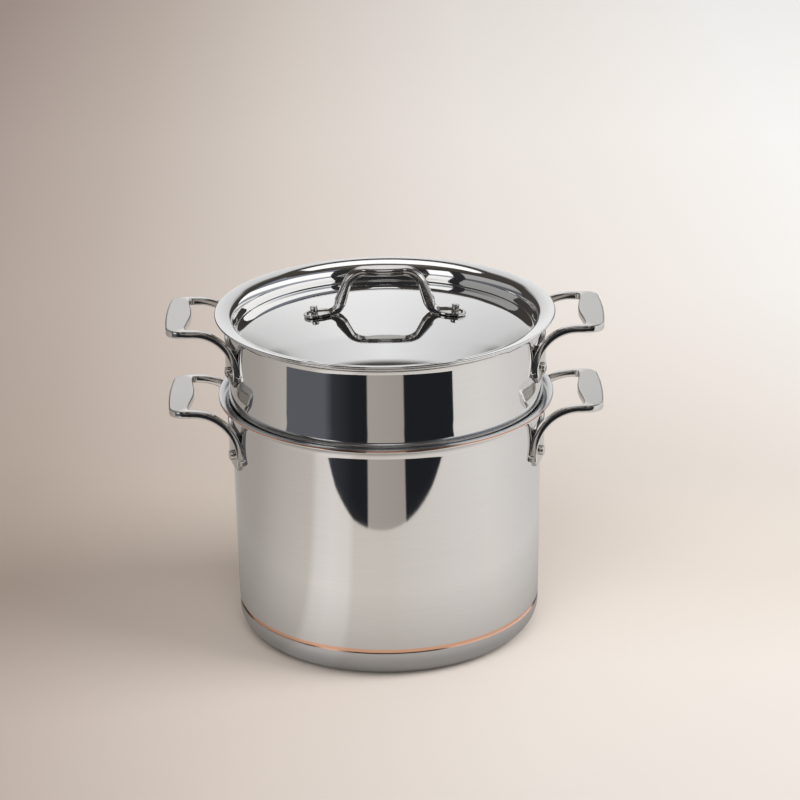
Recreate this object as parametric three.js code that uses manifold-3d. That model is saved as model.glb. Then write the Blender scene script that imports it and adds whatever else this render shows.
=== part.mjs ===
// A clad stockpot with a lift-out strainer insert and a lid.
// Millimetres, +Z up, origin at the middle of the base, +X through the right-hand handles.
// Sheet pieces are profiles turned about Z; the cast handles are joined from extrusions and cut to their seats.
import * as THREE from "three";
import { mergeGeometries, mergeVertices } from "three/addons/utils/BufferGeometryUtils.js";
import Module from "manifold-3d";

const wasm = await Module();
wasm.setup();

// Facets
const aroundSteps = 32; // sides of every turned sheet piece, a multiple of four
const bendSteps = 3; // straight runs in one rounded bend
const rivetSides = 8;
const holeSides = 6;

// Clearances
const seatGap = 0.3; // between pieces that rest on each other
const bondGap = 0.04; // between the bonded layers of the clad sheet
const shankGap = 0.3; // rivet shank in its hole

// Pot body, sizes on its outer face
const potRadius = 112; // wall under the lip
const potTaper = 2; // the wall is this much narrower above the base corner
const potCornerRadius = 18;
const potLipReach = 8.6; // the lip stands out this far from the wall
const potHeight = 179.7; // top of the lip
const skinThickness = 0.9; // outer steel with its aluminium layer
const coreThickness = 0.7; // copper
const linerThickness = 1.0; // inner steel with its aluminium layer
const bandBottom = 20.6; // groove round the base that bares the copper
const bandTop = 24.0;

// Strainer insert, sizes on its outer face
const insertSheet = 1.0;
const insertStep = 0.4; // its wall stands out this far past the pot's
const insertLipReach = 7.6;
const insertRise = 58.7; // its lip above the pot's lip
const insertBulge = 0.8; // the wall swells this much above the shoulder
const insertBulgeRise = 15.3; // the swelling starts this far above the pot's lip
const shoulderBend = 8; // the shoulder rests in the pot's lip
const shoulderTurn = 60; // degrees from the wall to the steepest part of the shoulder
const basketGap = 3.4; // between the basket's mouth and the inside of the pot
const basketTaper = 1.6;
const basketCorner = 12;
const basketFloor = 30; // underside of the basket above the table

// Perforations
const holeDiameter = 6;
const holeColumns = aroundSteps / 2; // so that each hole lies in one facet
const holeRows = 4;
const holeMargin = 16; // plain wall above and below the rows
const floorHoleRings = [8, 16]; // holes in each ring of the basket floor, from the middle

// Lid, sizes on its upper face
const lidSheet = 1.4;
const lidLipReach = 1.7; // its lip past the insert's lip
const lidLipBend = 7;
const lidPlugClearance = 0.7; // lid wall inside the insert's mouth
const lidFootInset = 2.8; // the wall leans in by this much down to its foot
const lidFootBend = 0.9;
const lidDomeDrop = 1.1; // middle of the dome below the lip
const lidDomeRadius = 450; // curve of the dome, which reaches the wall's foot
const lidDomeSteps = 5;

// Side handles
const gripOut = 44.4; // outer edge at the middle, from the pot's wall
const gripBow = 1.4; // the outer edge falls back this much at its ends
const gripLength = 79;
const gripMiddleWidth = 18;
const gripEndWidth = 13.8;
const gripThickness = 5.4;
const gripCorner = 11;
const gripEdge = 0.9; // rounded edge of the grip
const armWidth = 5.2;
const armThickness = 4;
const armDrop = 1.1; // arm top below the grip top
const armSplay = 6.5; // each arm leans out this much by its lower end
const footThickness = 2.4;
const footAbove = 18; // foot above its rivets
const footBelow = 9.5; // foot below its rivets
const footCorner = 0.5; // the slanted lower corners start this far below the rivets
const footSlant = 7; // sideways run of those corners
const potGripRise = -0.9; // grip top above the pot's lip
const potRivetDrop = 36; // rivets below the grip top
const insertGripRise = 0.5; // grip top above the insert's lip
const insertRivetDrop = 32.8;

// Rivets
const rivetInset = 8.5; // from the end of the grip towards the handle's middle plane
const rivetShankRadius = 2.4;
const rivetHeadRadius = 3.4;
const rivetHeadHeight = 2.4;
const rivetHeadEdge = 0.5;
const rivetInnerRadius = 4;
const rivetInnerHeight = 1.5;

// Lid handle
const barTop = 33; // above the middle of the dome
const barHalfLength = 27; // outside of the bends at the top
const barThickness = 5.8;
const barWidth = 9.6; // at its ends and down the legs
const barMiddleWidth = 12.6;
const barCorner = 12;
const legThickness = 6.2;
const legFootReach = 37.5; // outer face of the leg where it meets its tab
const tabReach = 58;
const tabInner = 31; // inner end of the tab from the middle
const tabWidth = 16;
const tabThickness = 4;
const tabRivetReach = 50;
const tabHollow = 2; // depth of the scooped top
const tabRivetHeadRadius = 2.8;
const tabRivetHeadHeight = 3;

// A run of points on an arc, degrees measured from outwards towards up.
function arc(r, z, radius, from, to, steps = bendSteps) {
  const points = [];
  for (let i = 0; i <= steps; i += 1) {
    const turn = THREE.MathUtils.degToRad(from + ((to - from) * i) / steps);
    points.push(new THREE.Vector2(r + radius * Math.cos(turn), z + radius * Math.sin(turn)));
  }
  return points;
}

// The line beside another one, at a set distance to its left; a point on the axis stays there.
// The last point moves square to the end run, which is the last piece of the line unless given.
function beside(line, distance, endRun) {
  const run = (from, to) => to.clone().sub(from).normalize();
  const end = line.length - 1;
  return line.map((point, i) => {
    if (point.x === 0) return new THREE.Vector2(0, point.y + distance);
    const next = i < end ? run(point, line[i + 1]) : (endRun ?? run(line[i - 1], point));
    const before = i > 0 && i < end ? run(line[i - 1], point) : next;
    const mean = before.clone().add(next).normalize();
    const reach = distance / mean.dot(next);
    return new THREE.Vector2(point.x - mean.y * reach, point.y + mean.x * reach);
  });
}

// A closed mesh with shared corners merged, as a solid that can be joined and cut.
function solid(geometry) {
  const bare = geometry.clone();
  bare.deleteAttribute("normal");
  bare.deleteAttribute("uv");
  const merged = mergeVertices(bare, 1e-4);
  const corners = merged.index.array;
  const kept = [];
  for (let i = 0; i < corners.length; i += 3) {
    const [a, b, c] = [corners[i], corners[i + 1], corners[i + 2]];
    if (a !== b && b !== c && c !== a) kept.push(a, b, c);
  }
  const vertProperties = merged.attributes.position.array;
  const triVerts = new Uint32Array(kept);
  return new wasm.Manifold(new wasm.Mesh({ numProp: 3, vertProperties, triVerts }));
}

// A profile of radius and height turned about Z, closed on itself or on the axis.
function turned(profile, steps = aroundSteps) {
  const onAxis = profile[0].x === 0;
  const ring = onAxis ? profile : [...profile, profile[0]];
  const area = ring.reduce((sum, p, i) => {
    const q = ring[(i + 1) % ring.length];
    return sum + p.x * q.y - q.x * p.y;
  }, 0);
  const ordered = area > 0 ? ring : [...ring].reverse();
  return solid(new THREE.LatheGeometry(ordered, steps).rotateX(Math.PI / 2));
}

// The sheet between two distances to the left of a line.
function sheet(line, from, to, endRun) {
  return turned([...beside(line, from, endRun), ...beside(line, to, endRun).reverse()]);
}

// A round bar from the origin along +X.
function roundBar(radius, length, sides) {
  return new THREE.CylinderGeometry(radius, radius, length, sides).rotateZ(Math.PI / 2).translate(length / 2, 0, 0);
}

function mesh(name, body, colour, roughness) {
  const { vertProperties, triVerts } = body.getMesh();
  const geometry = new THREE.BufferGeometry();
  geometry.setAttribute("position", new THREE.BufferAttribute(vertProperties, 3));
  geometry.setIndex(new THREE.BufferAttribute(triVerts, 1));
  geometry.computeVertexNormals();
  const material = new THREE.MeshStandardMaterial({ color: colour, roughness, metalness: 1 });
  const made = new THREE.Mesh(geometry, material);
  made.name = name;
  return made;
}

const polishedSteel = (name, body) => mesh(name, body, 0xd6d5d3, 0.12);
const satinSteel = (name, body) => mesh(name, body, 0xb9b8b6, 0.32);
const bareCopper = (name, body) => mesh(name, body, 0xd9936f, 0.38);
const castSteel = (name, body) => mesh(name, body, 0xcfcecc, 0.18);

// Lips are cut off upright, so their layers end level with each other.
const levelRun = new THREE.Vector2(1, 0);

// The pot's outer line, from the middle of the base up the wall and out over the lip.
const potSheet = skinThickness + coreThickness + linerThickness;
const potLipRadius = potRadius + potLipReach;
const potLipStart = potHeight - potSheet - potLipReach;
const potBaseRadius = potRadius - potTaper;
const potCornerCentre = potBaseRadius - potCornerRadius;

function potWall(z) {
  return potBaseRadius + (potTaper * (z - potCornerRadius)) / (potLipStart - potCornerRadius);
}

const potBaseLine = [
  new THREE.Vector2(0, 0),
  ...arc(potCornerCentre, potCornerRadius, potCornerRadius, -90, 0),
];
const potLipLine = arc(potLipRadius, potLipStart, potLipReach, 180, 90);
const potLine = [...potBaseLine, ...potLipLine];
const lowerSkinLine = [...potBaseLine, new THREE.Vector2(potWall(bandBottom), bandBottom)];
const upperSkinLine = [new THREE.Vector2(potWall(bandTop), bandTop), ...potLipLine];

// The insert's outer line, from the middle of the basket floor up to its lip.
const insertWallRadius = potRadius + insertStep;
const insertLipRadius = insertWallRadius + insertLipReach;
const insertHeight = potHeight + insertRise;
const basketMouthRadius = potRadius - potSheet - basketGap;
const basketBaseRadius = basketMouthRadius - basketTaper;
const shoulderCentre = insertWallRadius + insertBulge - shoulderBend;
const seatReach = potLipReach + potSheet + shoulderBend + seatGap;
const seatRise = Math.sqrt(seatReach ** 2 - (potLipRadius - shoulderCentre) ** 2);
const shoulderHeight = potLipStart + seatRise;
const insertLipStart = insertHeight - insertSheet - insertLipReach;
const shoulderArc = arc(shoulderCentre, shoulderHeight, shoulderBend, -shoulderTurn, 0);
const throatShare = 1 - Math.cos(THREE.MathUtils.degToRad(shoulderTurn));
const throatBend = (shoulderArc[0].x - basketMouthRadius) / throatShare;
const throatDrop = throatBend * Math.sin(THREE.MathUtils.degToRad(shoulderTurn));
const throatHeight = shoulderArc[0].y - throatDrop;
const throatArc = arc(basketMouthRadius + throatBend, throatHeight, throatBend, 180, 180 - shoulderTurn);
const basketTop = throatArc[0].y;

function basketWall(z) {
  const share = (z - basketFloor - basketCorner) / (basketTop - basketFloor - basketCorner);
  return basketBaseRadius + basketTaper * share;
}

const insertLine = [
  new THREE.Vector2(0, basketFloor),
  ...arc(basketBaseRadius - basketCorner, basketFloor + basketCorner, basketCorner, -90, 0),
  ...throatArc.slice(0, -1),
  ...shoulderArc,
  new THREE.Vector2(insertWallRadius, potHeight + insertBulgeRise),
  ...arc(insertLipRadius, insertLipStart, insertLipReach, 180, 90),
];

// Round holes round the basket wall, each second row half a step on, and rings of holes in its floor.
function perforations() {
  const cutters = [];
  const depth = 4 * insertSheet;
  const lowestRow = basketFloor + basketCorner + holeMargin;
  const rowStep = (basketTop - holeMargin - lowestRow) / holeRows;
  for (let row = 0; row < holeRows; row += 1) {
    const height = lowestRow + row * rowStep;
    for (let column = 0; column < holeColumns; column += 1) {
      const turn = ((column + 0.25 + (row % 2) / 2) * 2 * Math.PI) / holeColumns;
      const cutter = roundBar(holeDiameter / 2, depth, holeSides);
      cutters.push(cutter.translate(basketWall(height) - depth + insertSheet, 0, height).rotateZ(turn));
    }
  }
  const ringStep = (basketBaseRadius - basketCorner) / (floorHoleRings.length + 0.5);
  floorHoleRings.forEach((count, ring) => {
    const reach = (ring + 1) * ringStep;
    for (let i = 0; i < count; i += 1) {
      const cutter = roundBar(holeDiameter / 2, depth, holeSides).rotateY(-Math.PI / 2);
      const turn = (i * 2 * Math.PI) / count + Math.PI / aroundSteps;
      cutters.push(cutter.translate(reach, 0, basketFloor - insertSheet).rotateZ(turn));
    }
  });
  return solid(mergeGeometries(cutters));
}

// The lid's upper line, from the middle of the dome out to the wall's foot and up to the lip.
const lidTop = insertHeight + seatGap + lidSheet;
const lidLipRadius = insertLipRadius + lidLipReach;
const lidWallRadius = insertWallRadius - insertSheet - lidPlugClearance - lidSheet;
const lidFootRadius = lidWallRadius - lidFootInset;
const domeTop = lidTop - lidDomeDrop;

function dome(r) {
  return domeTop - r ** 2 / (2 * lidDomeRadius);
}

const domeLine = [];
for (let i = 0; i <= lidDomeSteps; i += 1) {
  const r = (lidFootRadius * i) / lidDomeSteps;
  domeLine.push(new THREE.Vector2(r, dome(r)));
}
const lidFootHeight = dome(lidFootRadius);
const lidLine = [
  ...domeLine,
  new THREE.Vector2(lidFootRadius + lidFootBend, lidFootHeight + lidFootBend),
  ...arc(lidWallRadius + lidLipBend, lidTop - lidLipBend, lidLipBend, 180, 90),
  new THREE.Vector2(lidLipRadius, lidTop),
];

// One rivet along +X from the inner face of the sheet: inner head, shank, proud outer head.
function rivet(grip, headRadius = rivetHeadRadius, headHeight = rivetHeadHeight) {
  const profile = [
    new THREE.Vector2(0, -rivetInnerHeight),
    new THREE.Vector2(rivetInnerRadius / 2, -rivetInnerHeight),
    new THREE.Vector2(rivetInnerRadius, 0),
    new THREE.Vector2(rivetShankRadius, 0),
    new THREE.Vector2(rivetShankRadius, grip),
    new THREE.Vector2(headRadius, grip),
    new THREE.Vector2(headRadius, grip + headHeight - rivetHeadEdge),
    new THREE.Vector2(headRadius - rivetHeadEdge, grip + headHeight),
    new THREE.Vector2(0, grip + headHeight),
  ];
  return turned(profile, rivetSides).rotate([0, 90, 0]);
}

// Share of its radius at which the middle of a facet lies, for the seats of the rivets.
const facetShare = Math.cos(Math.PI / aroundSteps);

const gripReach = potRadius + gripOut;
const footHalf = gripLength / 2 + armSplay;
const rivetSpread = gripLength / 2 - rivetInset;
const potGripTop = potHeight + potGripRise;
const insertGripTop = insertHeight + insertGripRise;

// What a handle needs to know of its vessel: outer radius at a height, sheet thickness, heights of grip and rivets.
const vessels = {
  pot: {
    wall: potWall,
    thickness: potSheet,
    gripTop: potGripTop,
    rivetHeight: potGripTop - potRivetDrop,
  },
  insert: {
    wall: () => insertWallRadius,
    thickness: insertSheet,
    gripTop: insertGripTop,
    rivetHeight: insertGripTop - insertRivetDrop,
  },
};

// Turn of a handle's rivets from its middle plane, and the inner and outer seats of their heads.
function rivetSeats({ wall, thickness, rivetHeight: height }) {
  const radius = wall(height);
  const turn = Math.asin(rivetSpread / radius);
  const inner = (radius - thickness) * facetShare - seatGap;
  const outer = (radius + seatGap + footThickness) * facetShare + seatGap;
  return { height, turn, inner, outer };
}

// Cutters for the two rivets of a handle on the +X side: bars of a radius between two distances from the axis.
function rivetBars({ height, turn }, radius, from, to) {
  const bars = [-turn, turn].map((side) => {
    const bar = roundBar(radius, to - from, rivetSides);
    return bar.translate(from, 0, height).rotateZ(side);
  });
  return solid(mergeGeometries(bars));
}

// Holes for the shanks of one handle.
function shankHoles(vessel) {
  const seats = rivetSeats(vessel);
  return rivetBars(seats, rivetShankRadius + shankGap, seats.inner - 2, seats.outer + 2);
}

// Flats cut into a foot where the outer heads sit.
function headSeats(vessel) {
  const seats = rivetSeats(vessel);
  const from = seats.outer - seatGap;
  return rivetBars(seats, rivetHeadRadius + shankGap, from, from + 2 * rivetHeadHeight);
}

// Shank holes of the two handles of a vessel.
function bothShankHoles(vessel) {
  const right = shankHoles(vessel);
  return right.add(right.rotate([0, 0, 180]));
}

// The flat grip: bowed outer edge, round corners, and an inner edge that swells towards the vessel.
function gripPlate(gripTop) {
  const half = gripLength / 2;
  const cornerEdge = gripReach - gripBow;
  const innerEnd = cornerEdge - gripEndWidth;
  const innerMiddle = gripReach - gripMiddleWidth;
  const swell = half - armWidth;
  const outline = new THREE.Shape();
  outline.moveTo(innerEnd, -half);
  outline.lineTo(cornerEdge - gripCorner, -half);
  outline.quadraticCurveTo(cornerEdge, -half, cornerEdge, gripCorner - half);
  outline.quadraticCurveTo(gripReach + gripBow, 0, cornerEdge, half - gripCorner);
  outline.quadraticCurveTo(cornerEdge, half, cornerEdge - gripCorner, half);
  outline.lineTo(innerEnd, half);
  outline.lineTo(innerEnd, swell);
  outline.bezierCurveTo(innerMiddle, swell / 2, innerMiddle, -swell / 2, innerEnd, -swell);
  const plate = new THREE.ExtrudeGeometry(outline, {
    depth: gripThickness - 2 * gripEdge,
    bevelThickness: gripEdge,
    bevelSize: gripEdge,
    bevelOffset: -gripEdge,
    bevelSegments: 1,
    curveSegments: 4,
  });
  return solid(plate.translate(0, 0, gripTop - gripThickness + gripEdge));
}

// One arm as a bar of even thickness: out of the grip, then down in a quarter turn to the wall.
// The bar leans sideways, so that its lower end stands further out than its upper one.
function arm({ wall, gripTop, rivetHeight }, side) {
  const top = gripTop - armDrop;
  const bend = top - rivetHeight;
  const wallReach = Math.sqrt(wall(rivetHeight) ** 2 - footHalf ** 2);
  const upper = [
    ...arc(wallReach + bend, -bend, bend, 180, 90, 2 * bendSteps),
    new THREE.Vector2(gripReach - gripBow - gripEndWidth / 2, 0),
  ];
  const outline = new THREE.Shape([...upper, ...beside(upper, -armThickness).reverse()]);
  const bar = new THREE.ExtrudeGeometry(outline, { depth: armWidth, bevelEnabled: false });
  const start = side > 0 ? gripLength / 2 : -gripLength / 2 + armWidth;
  bar.rotateX(Math.PI / 2).translate(0, start, 0);
  const lean = new THREE.Matrix4().makeShear(0, 0, 0, 0, 0, (-side * armSplay) / bend);
  return solid(bar.applyMatrix4(lean).translate(0, 0, top));
}

// The foot: a band that hugs the wall, trimmed to an outline with slanted lower corners.
function foot({ wall, rivetHeight }) {
  const bottom = rivetHeight - footBelow;
  const top = rivetHeight + footAbove;
  const wallLine = [bottom, top].map((z) => new THREE.Vector2(wall(z) + seatGap, z));
  const band = sheet(wallLine, 0, -footThickness);
  const corner = rivetHeight - footCorner;
  const topHalf = gripLength / 2 - armWidth / 2;
  const outline = new THREE.Shape([
    new THREE.Vector2(footSlant - footHalf, bottom),
    new THREE.Vector2(footHalf - footSlant, bottom),
    new THREE.Vector2(footHalf, corner),
    new THREE.Vector2(topHalf, top),
    new THREE.Vector2(-topHalf, top),
    new THREE.Vector2(-footHalf, corner),
  ]);
  const block = new THREE.ExtrudeGeometry(outline, { depth: gripReach, bevelEnabled: false });
  return band.intersect(solid(block.rotateX(Math.PI / 2).rotateZ(Math.PI / 2)));
}

// A side handle for the +X side of a vessel, cut clear of its wall.
function sideHandle(vessel) {
  const { wall, gripTop, rivetHeight } = vessel;
  const low = rivetHeight - 2 * footBelow;
  const wallLine = [low, gripTop].map((z) => new THREE.Vector2(wall(z) + seatGap, z));
  const wallCore = turned([new THREE.Vector2(0, low), ...wallLine, new THREE.Vector2(0, gripTop)]);
  return gripPlate(gripTop)
    .add(arm(vessel, 1))
    .add(arm(vessel, -1))
    .add(foot(vessel))
    .subtract(wallCore)
    .subtract(shankHoles(vessel))
    .subtract(headSeats(vessel));
}

// The lid's handle: a bar on two splayed legs, each ending in a hollowed tab that lies on the dome.
const tabSlope = Math.atan(tabRivetReach / lidDomeRadius);

function tabHole(side) {
  const length = 2 * (tabThickness + lidSheet + rivetHeadHeight);
  const bar = roundBar(rivetShankRadius + shankGap, length, rivetSides).rotateY(-Math.PI / 2);
  const upright = bar.translate(0, 0, -length / 2).rotateY(side * tabSlope);
  return solid(upright.translate(side * tabRivetReach, 0, dome(tabRivetReach)));
}

function tab(side) {
  const length = tabReach - tabInner;
  const half = tabWidth / 2;
  const outline = new THREE.Shape();
  outline.moveTo(0, -barWidth / 2);
  outline.bezierCurveTo(length / 4, -half, length / 2, -half, length - half, -half);
  outline.absarc(length - half, 0, half, -Math.PI / 2, Math.PI / 2, false);
  outline.bezierCurveTo(length / 2, half, length / 4, half, 0, barWidth / 2);
  const plate = new THREE.ExtrudeGeometry(outline, {
    depth: 2 * tabThickness - 1,
    bevelThickness: 1,
    bevelSize: 1,
    bevelOffset: -1,
    bevelSegments: 1,
    curveSegments: 4,
  });
  plate.translate(tabInner - tabRivetReach, 0, -tabThickness).rotateY(tabSlope);
  plate.translate(tabRivetReach, 0, dome(tabRivetReach));
  const scoop = new THREE.SphereGeometry(1, 10, 6).scale(length / 2.6, half * 0.72, tabHollow);
  scoop.rotateY(tabSlope).translate(tabRivetReach - 1, 0, dome(tabRivetReach) + tabThickness);
  return solid(plate)
    .subtract(solid(scoop))
    .rotate([0, 0, side > 0 ? 0 : 180]);
}

// The swollen middle of the bar: from above a lens between the bends, as thick as the bar.
function barSwell(top) {
  const half = barHalfLength - barCorner;
  const side = barWidth / 2;
  const pull = barMiddleWidth - side;
  const outline = new THREE.Shape();
  outline.moveTo(-half, -side);
  outline.quadraticCurveTo(0, -pull, half, -side);
  outline.lineTo(half, side);
  outline.quadraticCurveTo(0, pull, -half, side);
  const bevel = barThickness / 4;
  const plate = new THREE.ExtrudeGeometry(outline, {
    depth: barThickness - 2 * bevel,
    bevelThickness: bevel,
    bevelSize: bevel,
    bevelOffset: -bevel,
    bevelSegments: 1,
    curveSegments: 6,
  });
  return solid(plate.translate(0, 0, top - barThickness + bevel));
}

function lidHandle() {
  const top = domeTop + barTop;
  const footHeight = dome(legFootReach) + tabThickness / 2;
  const legDrop = top - footHeight;
  const outer = new THREE.Shape();
  outer.moveTo(-legFootReach, footHeight);
  outer.lineTo(-barHalfLength - barCorner / 4, top - barCorner);
  outer.quadraticCurveTo(-barHalfLength, top, -barHalfLength + barCorner, top);
  outer.lineTo(barHalfLength - barCorner, top);
  outer.quadraticCurveTo(barHalfLength, top, barHalfLength + barCorner / 4, top - barCorner);
  outer.lineTo(legFootReach, footHeight);
  outer.lineTo(legFootReach - legThickness, footHeight - 1);
  const innerTop = top - barThickness;
  const innerReach = barHalfLength - legThickness;
  outer.lineTo(innerReach + barCorner / 4, innerTop - barCorner / 2);
  outer.quadraticCurveTo(innerReach, innerTop, innerReach - barCorner / 2, innerTop);
  outer.lineTo(barCorner / 2 - innerReach, innerTop);
  outer.quadraticCurveTo(-innerReach, innerTop, -innerReach - barCorner / 4, innerTop - barCorner / 2);
  outer.lineTo(legThickness - legFootReach, footHeight - 1);
  const bevel = legThickness / 4;
  const arch = new THREE.ExtrudeGeometry(outer, {
    depth: barWidth - 2 * bevel,
    bevelThickness: bevel,
    bevelSize: bevel,
    bevelOffset: -bevel,
    bevelSegments: 1,
    curveSegments: 4,
  });
  arch.rotateX(Math.PI / 2).translate(0, barWidth / 2 - bevel, 0);
  const low = lidFootHeight - legDrop;
  const seatLine = domeLine.map((point) => new THREE.Vector2(point.x, point.y + seatGap));
  const under = turned([new THREE.Vector2(0, low), new THREE.Vector2(lidFootRadius, low), ...seatLine.reverse()]);
  return solid(arch)
    .add(barSwell(top))
    .add(tab(1))
    .add(tab(-1))
    .subtract(under)
    .subtract(tabHole(1))
    .subtract(tabHole(-1));
}

const stockpot = new THREE.Group();
const potHoles = bothShankHoles(vessels.pot);
const layerEdges = [0, skinThickness, skinThickness + coreThickness];
// One layer of the clad sheet, up to the cut edge of the lip and drilled for the rivets.
function layer(line, from, to) {
  return sheet(line, from, to, levelRun).subtract(potHoles);
}

stockpot.add(
  satinSteel("pot_base_skin", sheet(lowerSkinLine, 0, skinThickness)),
  polishedSteel("pot_wall_skin", layer(upperSkinLine, 0, skinThickness)),
  bareCopper("pot_copper_core", layer(potLine, layerEdges[1] + bondGap, layerEdges[2])),
  satinSteel("pot_inner_liner", layer(potLine, layerEdges[2] + bondGap, potSheet)),
);

const insertBody = sheet(insertLine, 0, insertSheet, levelRun).subtract(perforations());
stockpot.add(polishedSteel("strainer_insert", insertBody.subtract(bothShankHoles(vessels.insert))));

// Two handles on each vessel, each held by two rivets.
for (const [name, vessel] of Object.entries(vessels)) {
  const { height, turn, inner, outer } = rivetSeats(vessel);
  const handle = sideHandle(vessel);
  const fastener = rivet(outer - inner);
  for (const [sideName, sideTurn] of [["right", 0], ["left", Math.PI]]) {
    const side = new THREE.Group();
    side.rotation.z = sideTurn;
    side.add(castSteel(`${name}_handle_${sideName}`, handle));
    for (const [place, away] of [["front", -turn], ["rear", turn]]) {
      const facing = sideTurn === 0 ? place : place === "front" ? "rear" : "front";
      const pin = castSteel(`${name}_rivet_${sideName}_${facing}`, fastener);
      pin.rotation.z = away;
      pin.position.set(inner * Math.cos(away), inner * Math.sin(away), height);
      side.add(pin);
    }
    stockpot.add(side);
  }
}

const lidHoles = tabHole(1).add(tabHole(-1));
const lid = sheet(lidLine, -lidSheet, 0).subtract(lidHoles);
stockpot.add(polishedSteel("lid", lid), castSteel("lid_handle", lidHandle()));

// A rivet through each tab, square to the dome.
const lidGrip = lidSheet + 3 * seatGap + tabThickness - tabHollow / 2;
const lidFastener = rivet(lidGrip, tabRivetHeadRadius, tabRivetHeadHeight);
for (const [sideName, side] of [["right", 1], ["left", -1]]) {
  const pin = castSteel(`lid_rivet_${sideName}`, lidFastener);
  const depth = lidSheet + 2 * seatGap;
  const lean = side * tabSlope;
  pin.rotation.y = lean - Math.PI / 2;
  const along = side * (tabRivetReach - depth * Math.sin(tabSlope));
  pin.position.set(along, 0, dome(tabRivetReach) - depth * Math.cos(tabSlope));
  stockpot.add(pin);
}

export default stockpot;
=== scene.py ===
import math

import bpy
import bmesh
import numpy as np
from mathutils import Matrix


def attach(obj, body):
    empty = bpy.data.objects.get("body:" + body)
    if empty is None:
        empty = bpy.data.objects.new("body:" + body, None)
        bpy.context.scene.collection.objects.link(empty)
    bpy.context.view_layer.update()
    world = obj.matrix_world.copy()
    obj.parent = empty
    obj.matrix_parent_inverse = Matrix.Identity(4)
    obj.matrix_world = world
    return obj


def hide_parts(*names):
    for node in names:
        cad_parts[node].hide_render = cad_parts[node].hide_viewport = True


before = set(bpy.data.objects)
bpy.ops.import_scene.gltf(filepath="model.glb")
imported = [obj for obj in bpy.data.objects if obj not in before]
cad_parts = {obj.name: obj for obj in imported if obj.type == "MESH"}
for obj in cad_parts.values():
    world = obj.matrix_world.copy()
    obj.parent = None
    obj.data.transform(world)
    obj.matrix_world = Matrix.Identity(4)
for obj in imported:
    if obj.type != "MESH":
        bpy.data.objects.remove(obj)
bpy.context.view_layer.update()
mm = 0.001
print("frame loaded:", len(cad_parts), "nodes")


# sRGB hex to linear colour, by the usual piecewise curve
def hexColour(text):
    srgb = np.array([int(text[i:i + 2], 16) for i in (1, 3, 5)]) / 255
    linear = np.where(srgb <= 0.04045, srgb / 12.92, ((srgb + 0.055) / 1.055) ** 2.4)
    return (*linear.tolist(), 1.0)


# one node: settings are its properties, its sockets' values or a ramp's stops as shares of 0 to 1 with tones;
# links bring in sockets, or a node's first output that is in use
def addNode(tree, kind, settings=None, links=None):
    node = tree.nodes.new("ShaderNode" + kind)
    for key, value in (settings or {}).items():
        if key == "stops":
            for share, tone in value[1:-1]:
                node.color_ramp.elements.new(share)
            for element, (share, tone) in zip(node.color_ramp.elements, value):
                element.color = hexColour(tone)
        elif isinstance(key, str) and hasattr(node, key):
            setattr(node, key, value)
        else:
            node.inputs[key].default_value = value
    for key, source in (links or {}).items():
        if isinstance(source, bpy.types.Node):
            source = next(socket for socket in source.outputs if socket.enabled)
        tree.links.new(source, node.inputs[key])
    return node


# an empty material and its node tree
def newMaterial(name):
    material = bpy.data.materials.new(name)
    material.use_nodes = True
    material.node_tree.nodes.clear()
    return material, material.node_tree


# a slow change of the turned finish: its size in mm, its share, and the noise values that give the full range
slowChange = {"size": 35.7, "share": 0.35, "low": 0.25, "high": 0.75}


# Turned sheet metal: the lines of the polishing wheel run round the axis, so the noise is long in x and y
# and fine along height plus radius, which steps up every wall and across every flat. Spacing, depth and
# streak in mm.
def turnedMetal(name, colour, dark, roughness, spread, lineSpacing, lineDepth, streak):
    material, tree = newMaterial(name)
    place = addNode(tree, "TexCoord").outputs["Object"]
    parts = addNode(tree, "SeparateXYZ", links={0: place})
    flat = addNode(tree, "CombineXYZ", links={"X": parts.outputs["X"], "Y": parts.outputs["Y"]})
    reach = addNode(tree, "VectorMath", {"operation": "LENGTH"}, {0: flat})
    climb = addNode(tree, "Math", {"operation": "ADD"}, {0: parts.outputs["Z"], 1: reach})
    fine = addNode(tree, "Math", {"operation": "MULTIPLY", 1: 1 / (lineSpacing * mm)}, {0: climb})
    lift = addNode(tree, "CombineXYZ", links={"Z": fine})
    around = addNode(tree, "VectorMath", {"operation": "SCALE", "Scale": 1 / (streak * mm)}, {0: flat})
    lines = addNode(tree, "VectorMath", {"operation": "ADD"}, {0: around, 1: lift})
    grain = addNode(tree, "TexNoise", {"Scale": 1.0, "Detail": 3.0, "Roughness": 0.6}, {"Vector": lines})
    cloud = addNode(tree, "TexNoise", {"Scale": 1 / (slowChange["size"] * mm), "Detail": 2.0},
                    {"Vector": place})
    blend = addNode(tree, "Mix", {"data_type": "FLOAT", "Factor": slowChange["share"]},
                    {"A": grain, "B": cloud})
    rough = addNode(tree, "MapRange", {"From Min": slowChange["low"], "From Max": slowChange["high"],
                                       "To Min": roughness - spread, "To Max": roughness + spread},
                    {"Value": blend})
    tone = addNode(tree, "Mix", {"data_type": "RGBA", "A": hexColour(dark), "B": hexColour(colour)},
                   {"Factor": grain})
    bump = addNode(tree, "Bump", {"Strength": 1.0, "Distance": lineDepth * mm}, {"Height": grain})
    shader = addNode(tree, "BsdfPrincipled", {"Metallic": 1.0},
                     {"Base Color": tone, "Roughness": rough, "Normal": bump})
    addNode(tree, "OutputMaterial", links={"Surface": shader})
    return material


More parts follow.
